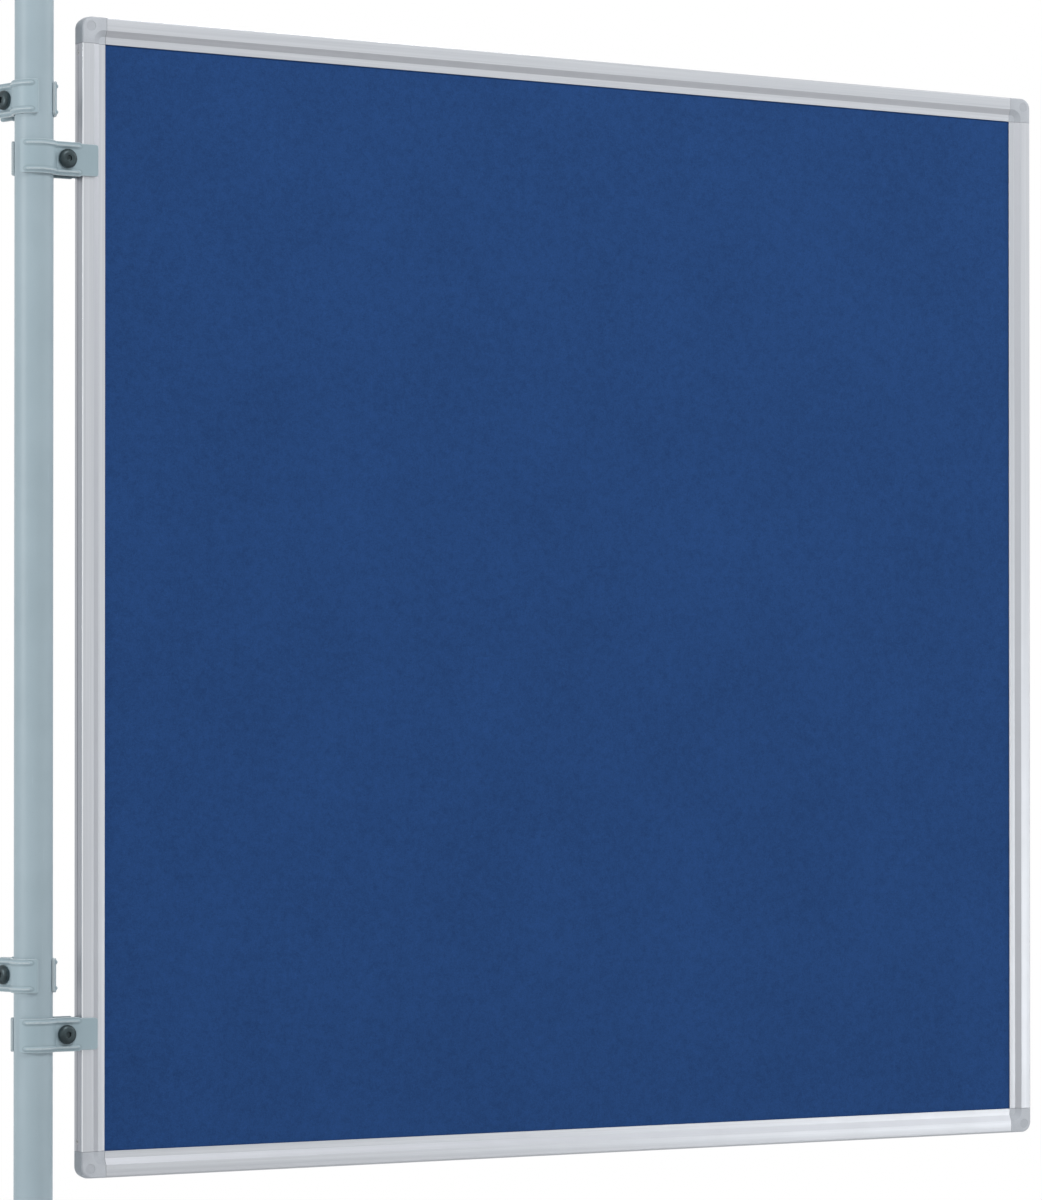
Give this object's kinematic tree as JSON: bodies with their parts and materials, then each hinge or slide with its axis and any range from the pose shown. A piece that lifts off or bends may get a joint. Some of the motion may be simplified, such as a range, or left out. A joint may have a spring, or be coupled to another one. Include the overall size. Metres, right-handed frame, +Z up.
{
  "type": "presentation board",
  "caption": "Square felt pin board in an aluminium frame with rounded plastic corners, held to a round pole by two-part screw clamps on which it swings.",
  "frame": {"origin": "bottom centre of the pole, on the face of its foot plug", "axes": "+Z up along the pole, +X along the board away from the pole, the board's front faces -Y"},
  "size_m": [1.2812, 0.0923, 1.8],
  "materials": {
    "pole_paint": "satin",
    "clamp_paint": "satin",
    "end_plastic": "matte",
    "frame_aluminium": "anodised satin",
    "corner_plastic": "matte",
    "corner_screw_steel": "bright",
    "softboard": "raw",
    "felt": "needled felt",
    "black_steel": "black oxide",
    "zinc_steel": "zinc plated"
  },
  "bodies": {
    "pole": {"pole_tube": "pole_paint", "pole_top_cap": "end_plastic", "pole_foot_plug": "end_plastic"},
    "board": {"bottom_rail": "frame_aluminium", "right_stile": "frame_aluminium", "top_rail": "frame_aluminium", "left_stile": "frame_aluminium", "corner_bottom_left": "corner_plastic", "corner_bottom_right": "corner_plastic", "corner_top_right": "corner_plastic", "corner_top_left": "corner_plastic", "bottom_rail_first_screw": "corner_screw_steel", "bottom_rail_last_screw": "corner_screw_steel", "right_stile_first_screw": "corner_screw_steel", "right_stile_last_screw": "corner_screw_steel", "top_rail_first_screw": "corner_screw_steel", "top_rail_last_screw": "corner_screw_steel", "left_stile_first_screw": "corner_screw_steel", "left_stile_last_screw": "corner_screw_steel", "board_core": "softboard", "front_felt": "felt", "back_felt": "felt", "lower_clamp_back": "clamp_paint", "lower_clamp_nut": "zinc_steel", "upper_clamp_back": "clamp_paint", "upper_clamp_nut": "zinc_steel"},
    "lower_clamp_jaw": {"lower_clamp_front": "clamp_paint"},
    "lower_clamp_bolt": {"lower_clamp_screw": "black_steel"},
    "upper_clamp_jaw": {"upper_clamp_front": "clamp_paint"},
    "upper_clamp_bolt": {"upper_clamp_screw": "black_steel"},
    "lower_spare": {"lower_spare_back": "clamp_paint", "lower_spare_nut": "zinc_steel"},
    "lower_spare_jaw": {"lower_spare_front": "clamp_paint"},
    "lower_spare_bolt": {"lower_spare_screw": "black_steel"},
    "upper_spare": {"upper_spare_back": "clamp_paint", "upper_spare_nut": "zinc_steel"},
    "upper_spare_jaw": {"upper_spare_front": "clamp_paint"},
    "upper_spare_bolt": {"upper_spare_screw": "black_steel"}
  },
  "joints": [
    {"name": "board_swing", "type": "hinge", "parent": "pole", "child": "board", "pos_m": [0, 0, 1.15], "axis": [0, 0, 1], "range_deg": [-120, 30]},
    {"name": "lower_clamp_jaw_slide", "type": "slide", "parent": "board", "child": "lower_clamp_jaw", "axis": [0, -1, 0], "range_m": [0, 0.004]},
    {"name": "lower_clamp_bolt_turn", "type": "hinge", "parent": "lower_clamp_jaw", "child": "lower_clamp_bolt", "pos_m": [0.03138, 0, 0.7], "axis": [0, -1, 0], "range_deg": [0, 960]},
    {"name": "upper_clamp_jaw_slide", "type": "slide", "parent": "board", "child": "upper_clamp_jaw", "axis": [0, -1, 0], "range_m": [0, 0.004]},
    {"name": "upper_clamp_bolt_turn", "type": "hinge", "parent": "upper_clamp_jaw", "child": "upper_clamp_bolt", "pos_m": [0.03138, 0, 1.6], "axis": [0, -1, 0], "range_deg": [0, 960]},
    {"name": "lower_spare_swing", "type": "hinge", "parent": "pole", "child": "lower_spare", "pos_m": [0, 0, 0.761], "axis": [0, 0, 1], "range_deg": [-30, 80]},
    {"name": "lower_spare_jaw_slide", "type": "slide", "parent": "lower_spare", "child": "lower_spare_jaw", "axis": [-0.9563, -0.2924, 0], "range_m": [0, 0.004]},
    {"name": "lower_spare_bolt_turn", "type": "hinge", "parent": "lower_spare_jaw", "child": "lower_spare_bolt", "pos_m": [-0.00917, 0.03001, 0.761], "axis": [-0.9563, -0.2924, 0], "range_deg": [0, 960]},
    {"name": "upper_spare_swing", "type": "hinge", "parent": "pole", "child": "upper_spare", "pos_m": [0, 0, 1.661], "axis": [0, 0, 1], "range_deg": [-30, 80]},
    {"name": "upper_spare_jaw_slide", "type": "slide", "parent": "upper_spare", "child": "upper_spare_jaw", "axis": [-0.9563, -0.2924, 0], "range_m": [0, 0.004]},
    {"name": "upper_spare_bolt_turn", "type": "hinge", "parent": "upper_spare_jaw", "child": "upper_spare_bolt", "pos_m": [-0.00917, 0.03001, 1.661], "axis": [-0.9563, -0.2924, 0], "range_deg": [0, 960]}
  ],
  "couplings": [
    {"joint": "lower_clamp_bolt_turn", "follows": "lower_clamp_jaw_slide", "rad_per_m": 4188.8},
    {"joint": "upper_clamp_bolt_turn", "follows": "upper_clamp_jaw_slide", "rad_per_m": 4188.8},
    {"joint": "lower_spare_bolt_turn", "follows": "lower_spare_jaw_slide", "rad_per_m": 4188.8},
    {"joint": "upper_spare_bolt_turn", "follows": "upper_spare_jaw_slide", "rad_per_m": 4188.8}
  ]
}
